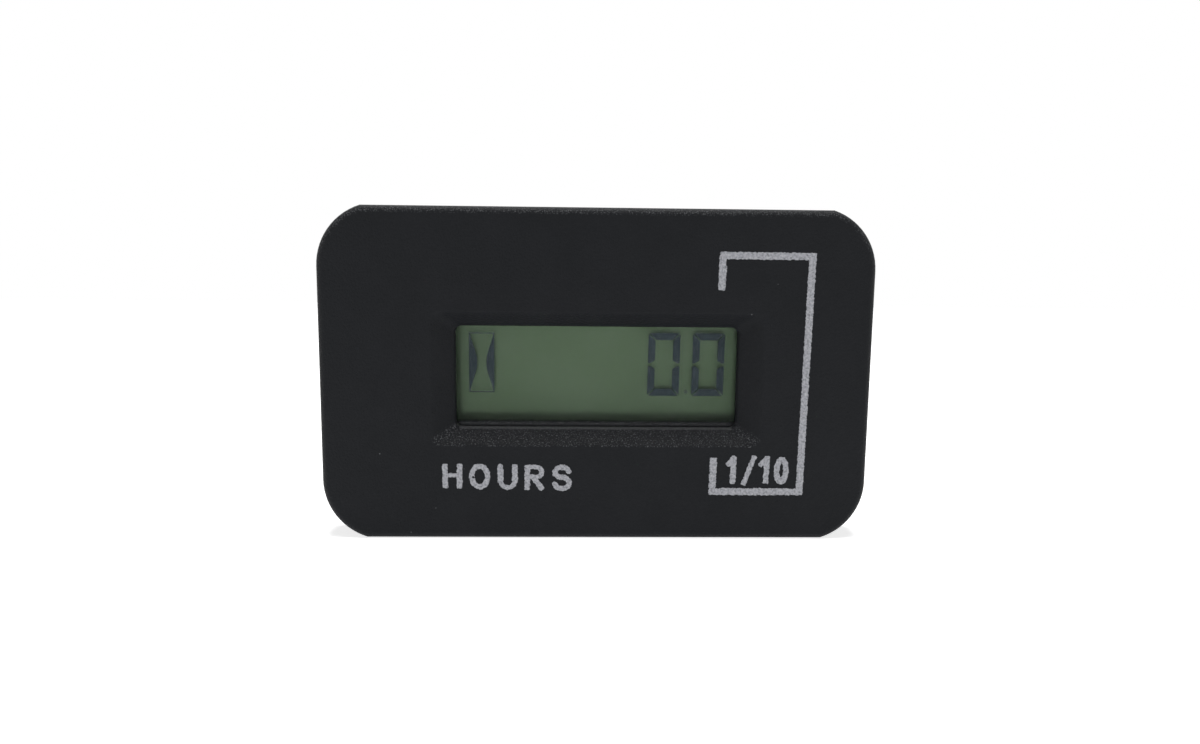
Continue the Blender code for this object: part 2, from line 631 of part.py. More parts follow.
def make_display_cell():
    """Front polarizer, two glasses and the reflective rear polarizer, stacked front to back."""
    film = rectangle(FILM_WIDTH, FILM_HEIGHT)
    front_glass = rectangle(GLASS_WIDTH, GLASS_HEIGHT)
    rear_glass = rectangle(GLASS_WIDTH, REAR_GLASS_HEIGHT)
    for name, outline, y, thickness, finish in (
        ("lcd_front_polarizer", film, FRONT_POLARIZER_Y, FRONT_POLARIZER_THICKNESS, "polarizer_film"),
        ("lcd_front_glass", front_glass, FRONT_GLASS_Y, GLASS_THICKNESS, "display_glass"),
        ("lcd_rear_glass", rear_glass, REAR_GLASS_Y, GLASS_THICKNESS, "display_glass"),
        ("lcd_rear_polarizer", film, REAR_POLARIZER_Y, REAR_POLARIZER_THICKNESS, "reflector_film"),
    ):
        prism(name, outline, y, y + thickness, finish)


def make_holder():
    """A plate behind the cell, with walls above and below the glass, strip slots and staked posts."""
    width = INNER_WIDTH - 2 * FIT_GAP
    height = INNER_HEIGHT - 2 * FIT_GAP
    holder = prism("lcd_holder", rectangle(width, height), HOLDER_Y, HOLDER_REAR_Y, "black_nylon")
    wall_y = (FRONT_GLASS_Y, HOLDER_Y + HOLDER_WALL_ROOT)
    wall_z = (GLASS_HEIGHT / 2 + FIT_GAP, height / 2)
    walls = [(around(0.0, width), wall_y, (side * wall_z[0], side * wall_z[1])) for side in (-1, 1)]
    fuse(holder, boxes("holder_walls", walls))
    slot_x = around(0.0, STRIP_LENGTH + 2 * FIT_GAP)
    slot_width = STRIP_WIDTH + 2 * FIT_GAP
    slots = [(slot_x, (FRONT_GLASS_Y, BOARD_Y), around(side * STRIP_Z, slot_width)) for side in (-1, 1)]
    cut(holder, boxes("strip_slot_cutter", slots))
    post_end = PART_SEAT_Y + POST_HEAD_HEIGHT
    fuse(holder, rods("holder_posts", POSTS, POST_DIAMETER, HOLDER_Y + HOLDER_WALL_ROOT, post_end))
    fuse(holder, rods("post_heads", POSTS, POST_HEAD_DIAMETER, PART_SEAT_Y, post_end))


def make_contact_strips():
    y_span = (FRONT_GLASS_Y + GLASS_THICKNESS + SEAT_GAP, BOARD_Y - SEAT_GAP)
    for name, side in (("zebra_strip_upper", 1), ("zebra_strip_lower", -1)):
        spans = [(around(0.0, STRIP_LENGTH), y_span, around(side * STRIP_Z, STRIP_WIDTH))]
        boxes(name, spans, "contact_elastomer")


def make_board():
    board = prism("main_board", rectangle(BOARD_WIDTH, BOARD_HEIGHT), BOARD_Y, BOARD_REAR_Y, "board_laminate")
    through = (BOARD_Y - BOARD_THICKNESS, BOARD_REAR_Y + BOARD_THICKNESS)
    cut(board, rods("post_hole_cutter", POSTS, POST_DIAMETER + 2 * FIT_GAP, *through))
    leg_slot = (BLADE_THICKNESS + 2 * FIT_GAP, LEG_WIDTH + 2 * FIT_GAP)
    tab_slot = (TAB_THICKNESS + 2 * FIT_GAP, TAB_WIDTH + 2 * FIT_GAP)
    slots = []
    for side in (-1, 1):
        slots.append((around(side * BLADE_X, leg_slot[0]), through, around(0.0, leg_slot[1])))
        tab_middle = side * (TAB_X + TAB_THICKNESS / 2)
        slots.append((around(tab_middle, tab_slot[0]), through, around(0.0, tab_slot[1])))
    cut(board, boxes("slot_cutter", slots))
    leads = [(x, z) for x in (-RESISTOR_X, RESISTOR_X) for z in around(0.0, RESISTOR_LEAD_SPAN)]
    cut(board, rods("lead_hole_cutter", leads, RESISTOR_LEAD_DIAMETER + 2 * FIT_GAP, *through))


def leg_outline(body_half, package):
    """A gull-wing leg seen from its side, as (distance from the body's centre, height over the board)."""
    shoulder = body_half + package.leg_reach * LEG_SHOULDER_SHARE
    toe = body_half + package.leg_reach
    inside = body_half - LEG_METAL
    underside = package.thickness / 2
    return [
        (inside, underside),
        (shoulder - LEG_METAL, underside),
        (shoulder, SEAT_GAP),
        (toe, SEAT_GAP),
        (toe, SEAT_GAP + LEG_METAL),
        (shoulder + LEG_METAL, SEAT_GAP + LEG_METAL),
        (shoulder, underside + LEG_METAL),
        (inside, underside + LEG_METAL),
    ]


def make_package(name, package, at, directions):
    """A moulded package with gull-wing legs on the sides that face the given directions."""
    low = BOARD_REAR_Y + PACKAGE_STANDOFF
    outline = rectangle(package.width, package.height, 0.0, at)
    body = prism(name, outline, low, low + package.thickness, "chip_epoxy")
    bm = bmesh.new()
    for dx, dz in directions:
        profile = leg_outline((package.width if dx else package.height) / 2, package)
        for i in range(package.legs):
            middle = (i - (package.legs - 1) / 2) * package.pitch
            loops = []
            for e in around(middle, package.leg_width):
                spots = [(at[0] + dx * d + dz * e, at[1] + dz * d + dx * e) for d, rise in profile]
                loops.append([(x, BOARD_REAR_Y + rise, z) for (x, z), (d, rise) in zip(spots, profile)])
            skin(bm, loops)
    fuse(body, object_from(bm, name + "_legs"))


def make_packages():
    left_right = ((1, 0), (-1, 0))
    up_down = ((0, 1), (0, -1))
    make_package("controller_chip", CONTROLLER, CONTROLLER_AT, left_right + up_down)
    make_package("memory_chip", MEMORY, MEMORY_AT, up_down)
    make_package("bridge_rectifier", BRIDGE, BRIDGE_AT, up_down)
    make_package("surge_diode", SURGE, SURGE_AT, left_right)


def chip_outline(height):
    """A chip seen from its side, as (distance from its middle, y). Its end caps stand a little proud."""
    end = CHIP_LENGTH / 2
    cap = end - CHIP_CAP_LENGTH
    low = PART_SEAT_Y
    high = low + height
    body_low = low + CHIP_CAP_RISE
    body_high = high - CHIP_CAP_RISE
    under = [(-end, low), (-cap, low), (-cap, body_low), (cap, body_low), (cap, low), (end, low)]
    over = [(end, high), (cap, high), (cap, body_high), (-cap, body_high), (-cap, high), (-end, high)]
    return under + over


def make_chips():
    """A row of chip resistors above the cell, and chip capacitors on both sides of the controller."""
    for i in range(CHIP_COUNT):
        row_x = (i - (CHIP_COUNT - 1) / 2) * CHIP_ROW_PITCH
        outline = [(row_x + d, y) for d, y in chip_outline(CHIP_RESISTOR_HEIGHT)]
        prism_along_z(f"chip_resistor_{i + 1}", outline, around(CHIP_ROW_Z, CHIP_WIDTH), "ceramic_chip")
        column_x = CHIP_COLUMN_X if i % 2 else -CHIP_COLUMN_X
        row = i // 2 - (CHIP_COUNT // 2 - 1) / 2
        outline = [(y, row * CHIP_COLUMN_PITCH + d) for d, y in chip_outline(CHIP_CAPACITOR_HEIGHT)]
        prism_along_x(f"chip_capacitor_{i + 1}", outline, around(column_x, CHIP_WIDTH), "ceramic_chip")


def make_crystal():
    """The clock crystal's can, lying on the board with its two leads pointing at the memory chip."""
    x, z = CRYSTAL_AT
    y = PART_SEAT_Y + CRYSTAL_DIAMETER / 2
    radius = CRYSTAL_DIAMETER / 2
    half = CRYSTAL_LENGTH / 2
    profile = [
        (radius - CRYSTAL_EDGE, -half),
        (radius, CRYSTAL_EDGE - half),
        (radius, half - CRYSTAL_EDGE),
        (radius - CRYSTAL_EDGE, half),
    ]
    can = turned("crystal_can", profile, (x, y, z), (1, 0, 0), SMALL_SIDES, "bright_can")
    lead_x = (x + half - CRYSTAL_EDGE, x + half + CRYSTAL_LEAD_LENGTH)
    leads = []
    for lead_z in around(z, CRYSTAL_LEAD_SPACING):
        leads.append((lead_x, around(y, CRYSTAL_LEAD), around(lead_z, CRYSTAL_LEAD)))
    fuse(can, boxes("crystal_leads", leads))


def make_smoothing_capacitor():
    base = rectangle(CAPACITOR_BASE, CAPACITOR_BASE, 0.0, CAPACITOR_AT)
    base_top = PART_SEAT_Y + CAPACITOR_BASE_HEIGHT
    body = prism("smoothing_capacitor", base, PART_SEAT_Y, base_top, "bright_can")
    radius = CAPACITOR_DIAMETER / 2
    inset = CAPACITOR_NECK_INSET
    profile = [
        (radius - inset, CAPACITOR_BASE_HEIGHT / 2),
        (radius - inset, CAPACITOR_BASE_HEIGHT + inset),
        (radius, CAPACITOR_BASE_HEIGHT + 2 * inset),
        (radius, CAPACITOR_HEIGHT - inset),
        (radius - inset, CAPACITOR_HEIGHT),
    ]
    centre = (CAPACITOR_AT[0], PART_SEAT_Y, CAPACITOR_AT[1])
    fuse(body, turned("capacitor_can", profile, centre, (0, 1, 0), SMALL_SIDES))


def make_dropping_resistors():
    """Axial resistors along the board's short sides, with leads bent down into it."""
    y = PART_SEAT_Y + RESISTOR_DIAMETER / 2
    full = RESISTOR_DIAMETER / 2
    waist = RESISTOR_WAIST / 2
    end = RESISTOR_LENGTH / 2
    half_profile = [
        (waist, end - RESISTOR_BULB - RESISTOR_EDGE),
        (full, end - RESISTOR_BULB),
        (full, end - RESISTOR_EDGE),
        (full - RESISTOR_EDGE, end),
    ]
    profile = [(radius, -distance) for radius, distance in reversed(half_profile)] + half_profile
    reach = RESISTOR_LEAD_SPAN / 2
    bend = arc((y - LEAD_BEND, reach - LEAD_BEND), LEAD_BEND, math.pi / 2, 0.0, LEAD_BEND_STEPS)
    half_path = list(reversed(bend)) + [(SOLDER_END_Y, reach)]
    path = [(a, -b) for a, b in reversed(half_path)] + half_path
    for name, side in (("dropping_resistor_left", -1), ("dropping_resistor_right", 1)):
        x = side * RESISTOR_X
        body = turned(name, profile, (x, y, 0.0), (0, 0, 1), SMALL_SIDES, "resistor_coat")
        fuse(body, bent_wire(name + "_lead", x, path, RESISTOR_LEAD_DIAMETER))


def make_coin_cell():
    radius = CELL_DIAMETER / 2
    cap = radius - CELL_CAP_INSET
    edge = CELL_STEP / 2
    profile = [
        (cap - edge, 0.0),
        (cap, edge),
        (cap, CELL_STEP),
        (radius - edge, CELL_STEP),
        (radius, CELL_STEP + edge),
        (radius, CELL_THICKNESS - edge),
        (radius - edge, CELL_THICKNESS),
    ]
    turned("coin_cell", profile, (0.0, CELL_Y, 0.0), (0, 1, 0), ROUND_SIDES, "cell_steel")


def make_cell_tab(name, side, cell_face, outer_face):
    """A bent strip that lies on one face of the cell and runs past its rim into the board."""
    inner = CELL_DIAMETER / 2 - TAB_REACH
    outer = TAB_X + TAB_THICKNESS
    front, back = sorted((cell_face, outer_face))
    outline = [
        (inner, front),
        (TAB_X, front),
        (TAB_X, SOLDER_END_Y),
        (outer, SOLDER_END_Y),
        (outer, back),
        (inner, back),
    ]
    prism_along_z(name, [(side * x, y) for x, y in outline], around(0.0, TAB_WIDTH), "tinned_brass")


def make_cell_tabs():
    front = CELL_Y - SEAT_GAP
    make_cell_tab("cell_negative_tab", 1, front, front - TAB_THICKNESS)
    rear = CELL_REAR_Y + SEAT_GAP
    make_cell_tab("cell_positive_tab", -1, rear, rear + TAB_THICKNESS)


def make_terminals():
    """Blade terminals. Shoulders bear on the cover's inner face and legs are soldered into the board."""
    shoulder_y = COVER_Y - SEAT_GAP
    neck_y = shoulder_y - SHOULDER_LENGTH
    half_width = BLADE_WIDTH / 2
    half = [
        (SOLDER_END_Y, LEG_WIDTH / 2),
        (neck_y, LEG_WIDTH / 2),
        (neck_y, half_width + SHOULDER_STEP),
        (shoulder_y, half_width + SHOULDER_STEP),
        (shoulder_y, half_width),
        (BLADE_TIP_Y - BLADE_TIP_CHAMFER, half_width),
        (BLADE_TIP_Y, half_width - BLADE_TIP_CHAMFER),
    ]
    outline = half + [(y, -z) for y, z in reversed(half)]
    radius = BLADE_HOLE_DIAMETER / 2
    for name, side in (("terminal_left", -1), ("terminal_right", 1)):
        x = side * BLADE_X
        blade = prism_along_x(name, outline, around(x, BLADE_THICKNESS), "tinned_brass")
        centre = (x, BLADE_TIP_Y - BLADE_HOLE_FROM_TIP, 0.0)
        profile = [(radius, -BLADE_THICKNESS), (radius, BLADE_THICKNESS)]
        cut(blade, turned(name + "_hole_cutter", profile, centre, (1, 0, 0), SMALL_SIDES))


def hook_outline(side):
    """A cover hook seen from its side, as (y, z): a strip along the tube's wall with a nose for its slot."""
    outer = INNER_HEIGHT / 2 - FIT_GAP
    inner = outer - HOOK_THICKNESS
    tip = COVER_Y - HOOK_REACH
    nose_end = tip + HOOK_NOSE_LENGTH
    points = [
        (tip, inner),
        (COVER_MIDDLE_Y, inner),
        (COVER_MIDDLE_Y, outer),
        (nose_end, outer),
        (nose_end, outer + HOOK_NOSE_RISE),
        (tip + HOOK_NOSE_LENGTH / 2, outer + HOOK_NOSE_RISE),
        (tip, outer),
    ]
    return [(y, side * z) for y, z in points]


def make_rear_cover():
    """The plate that closes the tube, with board pillars, snap hooks and a raised pad round each blade."""
    width = REBATE_WIDTH - 2 * FIT_GAP
    outline = rectangle(width, REBATE_HEIGHT - 2 * FIT_GAP, REBATE_CORNER_RADIUS - FIT_GAP)
    cover = prism("rear_cover", outline, COVER_Y, BODY_DEPTH, "black_abs")
    fuse(cover, rods("cover_pillars", PILLARS, PILLAR_DIAMETER, PART_SEAT_Y, COVER_MIDDLE_Y))
    for x in (-HOOK_X, HOOK_X):
        for side in (-1, 1):
            fuse(cover, prism_along_x("cover_hook", hook_outline(side), around(x, HOOK_WIDTH)))
    slot_width = BLADE_THICKNESS + 2 * FIT_GAP
    slot_height = BLADE_WIDTH + 2 * FIT_GAP
    pad_y = (COVER_MIDDLE_Y, BODY_DEPTH + PAD_RISE)
    slot_y = (COVER_Y - COVER_THICKNESS, BODY_DEPTH + 2 * PAD_RISE)
    pad_z = around(0.0, slot_height + 2 * PAD_END_MARGIN)
    pads = [(around(side * BLADE_X, slot_width + 2 * PAD_MARGIN), pad_y, pad_z) for side in (-1, 1)]
    fuse(cover, boxes("blade_pads", pads))
    slots = [(around(side * BLADE_X, slot_width), slot_y, around(0.0, slot_height)) for side in (-1, 1)]
    cut(cover, boxes("blade_slot_cutter", slots))


def main():
    clear_scene()
    make_housing()
    make_panel_gasket()
    make_window_seal()
    make_lens()
    make_display_cell()
    make_holder()
    make_contact_strips()
    make_board()
    make_packages()
    make_chips()
    make_crystal()
    make_smoothing_capacitor()
    make_dropping_resistors()
    make_coin_cell()
    make_cell_tabs()
    make_terminals()
    make_rear_cover()


main()
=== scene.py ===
"""The looks of the hour meter: materials, face print, display figures, camera and studio.

Metres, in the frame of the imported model: the face looks along -Y and the meter stands on the floor.
"""

import json
import math

import bmesh
import bpy
from mathutils import Matrix, Vector, noise

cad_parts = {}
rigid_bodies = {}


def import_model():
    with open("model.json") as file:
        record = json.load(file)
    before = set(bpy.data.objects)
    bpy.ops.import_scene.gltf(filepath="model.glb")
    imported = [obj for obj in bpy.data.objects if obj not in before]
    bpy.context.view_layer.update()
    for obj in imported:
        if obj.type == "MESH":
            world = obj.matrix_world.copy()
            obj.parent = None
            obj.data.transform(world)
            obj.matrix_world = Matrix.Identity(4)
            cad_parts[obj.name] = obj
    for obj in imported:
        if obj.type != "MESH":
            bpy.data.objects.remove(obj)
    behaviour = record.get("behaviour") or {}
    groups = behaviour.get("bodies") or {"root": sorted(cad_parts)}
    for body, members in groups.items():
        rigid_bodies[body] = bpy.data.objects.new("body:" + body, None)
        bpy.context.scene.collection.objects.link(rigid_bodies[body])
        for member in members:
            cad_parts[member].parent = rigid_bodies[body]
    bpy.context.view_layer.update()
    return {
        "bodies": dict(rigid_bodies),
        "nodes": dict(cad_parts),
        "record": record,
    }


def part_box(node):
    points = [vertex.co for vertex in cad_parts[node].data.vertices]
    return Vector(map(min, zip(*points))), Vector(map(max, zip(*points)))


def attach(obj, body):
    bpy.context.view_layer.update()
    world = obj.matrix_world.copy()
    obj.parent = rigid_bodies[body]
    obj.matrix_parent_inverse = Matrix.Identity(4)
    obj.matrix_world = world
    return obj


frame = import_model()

BODY = next(iter(frame["bodies"]))
MM = 0.001

# Camera, as fitted to the photograph's perspective
CAMERA_AT = Vector((-2.64, -97.93, 14.36)) * MM
CAMERA_RIGHT = Vector((0.99950, -0.02953, 0.01143))
CAMERA_UP = Vector((-0.00696, 0.14731, 0.98907))
CAMERA_LENS = 28.62
SENSOR_WIDTH = 36.0
CLIP_START = 0.005
CLIP_END = 20.0

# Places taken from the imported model
FACE_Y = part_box("housing")[0][1]
FRONT_GLASS_REAR_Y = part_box("lcd_front_glass")[1][1]
REAR_GLASS_FRONT_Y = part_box("lcd_rear_glass")[0][1]
FLOOR_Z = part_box("housing")[0][2]
LENS_LOW_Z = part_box("window_lens")[0][2]

# Painted shade along the lens's lower edge: a grey, nearly opaque band put where the window's foot
# lies in shade, which thins out between two heights
LENS_SHADE_BAND = (LENS_LOW_Z + 1.34 * MM, LENS_LOW_Z + 1.78 * MM)
LENS_SHADE_ALPHA = 0.9
LENS_ALPHA = 0.05

# Print on the face
INK_THICKNESS = 0.03 * MM  # proud of the face
INK_SINK = 0.01 * MM  # behind the face, so that no gap shows
INK_CELL = 0.05 * MM  # grid on which the ink's outline is traced
INK_EDGE_NOISE = 0.075 * MM
INK_EDGE_SCALE = 0.13 * MM
INK_WAVE_SCALE = 2.5 * INK_EDGE_SCALE
INK_REACH = 4 * INK_EDGE_NOISE  # farther from a stroke than this, noise can't bring ink
INK_MARGIN = 3 * INK_EDGE_NOISE
INK_CORNER = 0.12 * MM
CUT_MARGIN = 0.02  # least share of a cell's side on either side of a cut
VOID_SCALE = 0.22 * MM
VOID_NOISE = 0.14 * MM
EDGE_LAYER, WAVE_LAYER, VOID_LAYER = 0.0, 0.3, 0.7  # each noise has a pattern of its own
# Worn places in the unit word, as (x, z, radius)
HOURS_VOIDS = (
    (-12.31 * MM, -10.15 * MM, 0.09 * MM),
    (-12.24 * MM, -9.52 * MM, 0.04 * MM),
    (-11.92 * MM, -11.08 * MM, 0.04 * MM),
)

# Figures in the display, between the two glasses
FIGURE_THICKNESS = 0.02 * MM
FIGURE_Y = (FRONT_GLASS_REAR_Y + REAR_GLASS_FRONT_Y - FIGURE_THICKNESS) / 2
FIGURE_ALPHA = 0.75
POINT_ALPHA = 0.35
FIGURES = ((5.36 * MM, 8.67 * MM), (9.97 * MM, 13.30 * MM))  # (left, right) of each
FIGURE_TOP = 3.93 * MM
FIGURE_LOW = -2.64 * MM
FIGURE_LEAN = 0.012  # to the right for each unit up
SEGMENT_WIDTH = 0.74 * MM
SEGMENT_GAP = 0.08 * MM
SEGMENT_MIDDLE_GAP = 0.12 * MM
SEGMENT_TAPER = 0.34 * MM
SEGMENT_POINT = 0.3  # where the tapered end comes to a point, as a share of the width
SEGMENT_OUTER_TAPER = 0.10 * MM
POINT_AT = (9.36 * MM, -2.22 * MM)
POINT_RADIUS = 0.20 * MM
POINT_SIDES = 12
HOURGLASS = (-13.10 * MM, -10.50 * MM, 3.84 * MM, -2.37 * MM)  # left, right, top, low
HOURGLASS_LINE = 0.11 * MM
HOURGLASS_BULGE = 0.84 * MM
HOURGLASS_POWER = 1.6  # above 1, the bulge starts more gently
HOURGLASS_STEPS = 20

# Studio
AMBIENT = 0.10
FLOOR_SIZE = 0.6
FLOOR_COLOUR = (0.86, 0.86, 0.86, 1.0)
FLOOR_ROUGHNESS = 0.9
FLOOR_GLOW = 0.75  # makes the floor white to the eye, and lights nothing
TRANSPARENT_BOUNCES = 24  # enough for the lens, the films, both glasses and the figures

# Square lamps aimed at the origin, as (name, place, watts, side, whether gloss mirrors it).
# low and soft stand in front, a little low: the small one throws the figures' crisp shadow
# on the film behind them, and the wide one the soft shade inside the window's edges.
# bounce is the light off a table, which lifts the recess's upper slope.
LAMPS = (
    ("top", (0.02, -0.07, 0.42), 0.95, 0.15, True),
    ("rim", (0.0, 0.08, 0.40), 0.80, 0.15, True),
    ("low", (-0.02, -0.35, -0.040), 0.33, 0.04, False),
    ("soft", (-0.02, -0.35, -0.015), 0.33, 0.19, False),
    ("bounce", (0.0, -0.06, -0.32), 0.75, 0.20, False),
    ("right", (0.36, -0.15, 0.04), 0.20, 0.20, True),
    ("left", (-0.36, -0.15, 0.04), 0.20, 0.20, True),
)


def srgb(r, g, b):
    """Linear colour of an sRGB triple on the 0-255 scale."""
    values = []
    for channel in (r, g, b):
        share = channel / 255
        values.append(share / 12.92 if share <= 0.04045 else ((share + 0.055) / 1.055) ** 2.4)
    return (*values, 1.0)


# ---- materials

BLACK = (0.0, 0.0, 0.0, 1.0)
GREY = (0.5, 0.5, 0.5, 1.0)
LIGHT = (0.75, 0.75, 0.75, 1.0)
WHITE = (1.0, 1.0, 1.0, 1.0)

NOISE_LOW, NOISE_HIGH = 0.3, 0.7  # nearly all values of a noise lie between these
EVEN = (1.0, 1.0, 1.0)

# Black moulding: specks, painted highlight in speckles on slopes that face up, and dust settled on
# level faces, lightened as painted light along the window's lower edge
SPECK_SPACING = 2.6 * MM
SPECK_EDGE = (0.018, 0.032)  # where a speck fades out, as a share of the spacing
SPECK_CHOICE = 0.72  # the share of cells that have no speck
SPECK_COLOUR = (0.085, 0.088, 0.092, 1.0)
# Painted highlight: light speckles on surfaces that face up, strongest on slopes partway up, for the
# light from above
TOP_LIGHT_SPECKLE_SIZE = 0.12 * MM
TOP_LIGHT_SPECKLE_EDGE = (0.55, 0.66)
TOP_LIGHT_BY_TILT = ((0.02, BLACK), (0.35, LIGHT), (0.62, GREY))
TOP_LIGHT_SPECKLE_COLOUR = (0.125, 0.128, 0.135, 1.0)
# Dust on the level faces of the lower half, and painted light: it lightens the window's lower wall,
# which the lamps barely reach, and sparkles along its edge
SETTLED_DUST_AND_HIGHLIGHT_SIZE = 0.16 * MM
SETTLED_DUST_AND_HIGHLIGHT_TILT = (0.75, 1.0)
SETTLED_DUST_AND_HIGHLIGHT_COLOUR = (0.130, 0.132, 0.138, 1.0)


class Nodes:
    """A material's node tree with short ways to add the nodes used here."""

    def __init__(self, name):
        self.material = bpy.data.materials.new(name)
        self.material.use_nodes = True
        self.tree = self.material.node_tree
        self.shader = self.tree.nodes["Principled BSDF"]
        coordinates = self.add("ShaderNodeTexCoord")
        self.place = coordinates.outputs["Object"]
        self.normal = coordinates.outputs["Normal"]

    def add(self, kind, **settings):
        node = self.tree.nodes.new(kind)
        for key, value in settings.items():
            setattr(node, key, value)
        return node

    def link(self, source, target):
        self.tree.links.new(source, target)

    def set(self, **values):
        for key, value in values.items():
            self.shader.inputs[key.replace("_", " ")].default_value = value

    def noise(self, size, detail=2.0, roughness=0.5, stretch=EVEN):
        """Noise whose features are about this size, from 0 to 1."""
        place = self.place
        if stretch != EVEN:
            mapping = self.add("ShaderNodeMapping")
            mapping.inputs["Scale"].default_value = stretch
            self.link(place, mapping.inputs["Vector"])
            place = mapping.outputs["Vector"]
        node = self.add("ShaderNodeTexNoise")
        node.inputs["Scale"].default_value = 1 / size
        node.inputs["Detail"].default_value = detail
        node.inputs["Roughness"].default_value = roughness
        self.link(place, node.inputs["Vector"])
        return node.outputs["Fac"]

    def ramp(self, source, stops):
        """A colour ramp through (position, colour) stops."""
        node = self.add("ShaderNodeValToRGB")
        elements = node.color_ramp.elements
        while len(elements) < len(stops):
            elements.new(0.5)
        for element, (position, colour) in zip(elements, stops):
            element.position = position
            element.color = colour
        self.link(source, node.inputs["Fac"])
        return node.outputs["Color"]

    def tones(self, source, dark, light, low=NOISE_LOW, high=NOISE_HIGH):
        """A colour from dark to light as noise goes through its usual range."""
        return self.ramp(source, ((low, (*dark, 1.0)), (high, (*light, 1.0))))

    def remap(self, source, low, high, to_low, to_high, smooth=False):
        """A value taken from one range to another, and held at its ends."""
        node = self.add("ShaderNodeMapRange")
        if smooth:
            node.interpolation_type = "SMOOTHSTEP"
        for index, value in ((1, low), (2, high), (3, to_low), (4, to_high)):
            node.inputs[index].default_value = value
        self.link(source, node.inputs[0])
        return node.outputs[0]

    def math(self, operation, *sources):
        node = self.add("ShaderNodeMath", operation=operation)
        for i, source in enumerate(sources):
            if isinstance(source, (int, float)):
                node.inputs[i].default_value = source
            else:
                self.link(source, node.inputs[i])
        return node.outputs[0]

    def mix(self, factor, first, second):
        node = self.add("ShaderNodeMix", data_type="RGBA")
        for index, source in ((0, factor), (6, first), (7, second)):
            if isinstance(source, (tuple, float)):
                node.inputs[index].default_value = source
            else:
                self.link(source, node.inputs[index])
        return node.outputs[2]

    def axis(self, name):
        """The place along one axis."""
        node = self.add("ShaderNodeSeparateXYZ")
        self.link(self.place, node.inputs[0])
        return node.outputs[name]

    def facing(self, name):
        """The surface's own direction along one axis, from -1 to 1."""
        node = self.add("ShaderNodeSeparateXYZ")
        self.link(self.normal, node.inputs[0])
        return node.outputs[name]

    def bump(self, *layers):
        """Bump from (height, distance, strength) layers, one on top of another."""
        normal = None
        for height, distance, strength in layers:
            node = self.add("ShaderNodeBump")
            node.inputs["Distance"].default_value = distance
            node.inputs["Strength"].default_value = strength
            self.link(height, node.inputs["Height"])
            if normal:
                self.link(normal, node.inputs["Normal"])
            normal = node.outputs["Normal"]
        self.link(normal, self.shader.inputs["Normal"])

    def colour(self, source):
        self.link(source, self.shader.inputs["Base Color"])

    def roughness(self, source, smoothest, roughest):
        """Roughness that follows noise through its usual range."""
        value = self.remap(source, NOISE_LOW, NOISE_HIGH, smoothest, roughest)
        self.link(value, self.shader.inputs["Roughness"])


def black_plastic():
    """Spark-eroded black moulding, with fine grain, specks, painted highlight on slopes that face up,
    and settled dust lightened as painted light along the window's lower edge.
    """
    n = Nodes("black_plastic")
    base = n.tones(n.noise(3.5 * MM, 3.0), (0.0057, 0.0063, 0.0074), (0.0069, 0.0075, 0.0088))

    # A speck in the middle of some cells
    cells = n.add("ShaderNodeTexVoronoi")
    cells.inputs["Scale"].default_value = 1 / SPECK_SPACING
    n.link(n.place, cells.inputs["Vector"])
    near = n.remap(cells.outputs["Distance"], *SPECK_EDGE, 1.0, 0.0, smooth=True)
    picked = n.add("ShaderNodeSeparateColor")
    n.link(cells.outputs["Color"], picked.inputs[0])
    chosen = n.math("GREATER_THAN", picked.outputs[0], SPECK_CHOICE)
    base = n.mix(n.math("MULTIPLY", near, chosen), base, SPECK_COLOUR)

    # Painted highlight in speckles on slopes that face up, as light from above falls on them
    tilt = n.facing("Z")
    top_light_share = n.ramp(tilt, TOP_LIGHT_BY_TILT)
    painted_speckle = n.remap(n.noise(TOP_LIGHT_SPECKLE_SIZE, 2.0, 0.6), *TOP_LIGHT_SPECKLE_EDGE, 0.0, 1.0, smooth=True)
    base = n.mix(n.math("MULTIPLY", top_light_share, painted_speckle), base, TOP_LIGHT_SPECKLE_COLOUR)

    # Dust settled on the level faces of the lower half, lightened to paint the light on the window's
    # lower wall and the sparkling highlight along its edge
    flat = n.remap(tilt, *SETTLED_DUST_AND_HIGHLIGHT_TILT, 0.0, 1.0)
    level = n.math("MULTIPLY", flat, n.math("LESS_THAN", n.axis("Z"), 0.0))
    dust_and_highlight = n.remap(n.noise(SETTLED_DUST_AND_HIGHLIGHT_SIZE, 2.0, 0.7), 0.40, 0.66, 0.45, 1.0)
    n.colour(n.mix(n.math("MULTIPLY", level, dust_and_highlight), base, SETTLED_DUST_AND_HIGHLIGHT_COLOUR))

    grain = n.noise(0.22 * MM, 3.0, 0.6)
    coarse = n.noise(0.55 * MM, 2.0, 0.5)
    n.roughness(grain, 0.38, 0.58)
    n.bump((grain, 0.12 * MM, 0.8), (coarse, 0.05 * MM, 0.25))
    n.set(Specular_IOR_Level=0.103, IOR=1.5)
    return n.material


def simple(name, dark, light, size, rough, bump=None, stretch=EVEN, **values):
    """Two close tones of noise of this size, roughness that follows them, and a bump.

    The bump is (size, distance, strength), and values go to the shader's own sockets.
    """
    n = Nodes(name)
    spread = n.noise(size, 3.0, 0.55, stretch)
    n.colour(n.tones(spread, dark, light, 0.32, 0.68))
    n.roughness(spread, *rough)
    if bump:
        bump_size, distance, strength = bump
        n.bump((n.noise(bump_size, 3.0, 0.6, stretch), distance, strength))
    n.set(**values)
    return n.material


